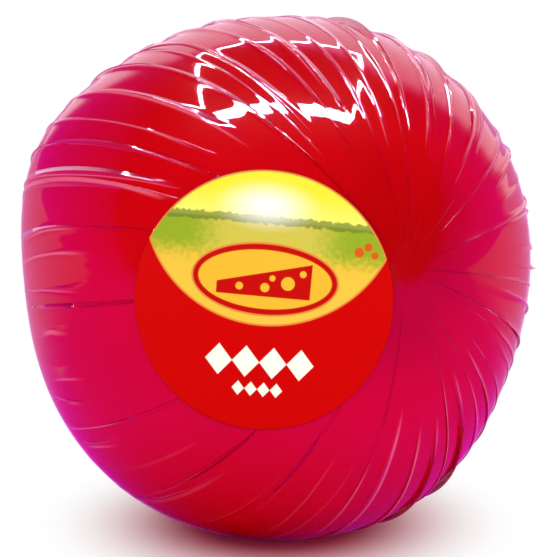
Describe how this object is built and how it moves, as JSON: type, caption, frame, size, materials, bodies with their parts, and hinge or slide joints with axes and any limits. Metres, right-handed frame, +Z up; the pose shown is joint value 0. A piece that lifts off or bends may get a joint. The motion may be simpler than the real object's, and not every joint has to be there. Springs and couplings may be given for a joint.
{
  "type": "ball of cheese",
  "caption": "Round waxed cheese sealed in clear pleated film, with a round front sticker and a small flat spot that it rests on.",
  "frame": {"origin": "middle of the flat spot that the ball rests on", "axes": "+Z up; the sticker faces -Y; +X is to the right of someone who looks at the sticker"},
  "size_m": [0.1461, 0.1451, 0.1473],
  "materials": {
    "film_and_wax": "glossy clear film, drawn tight in pleats over deep red cheese wax",
    "label": "printed plastic sticker, soft gloss"
  },
  "bodies": {
    "root": {"wrapped_cheese": "film_and_wax", "label": "label"}
  },
  "joints": []
}
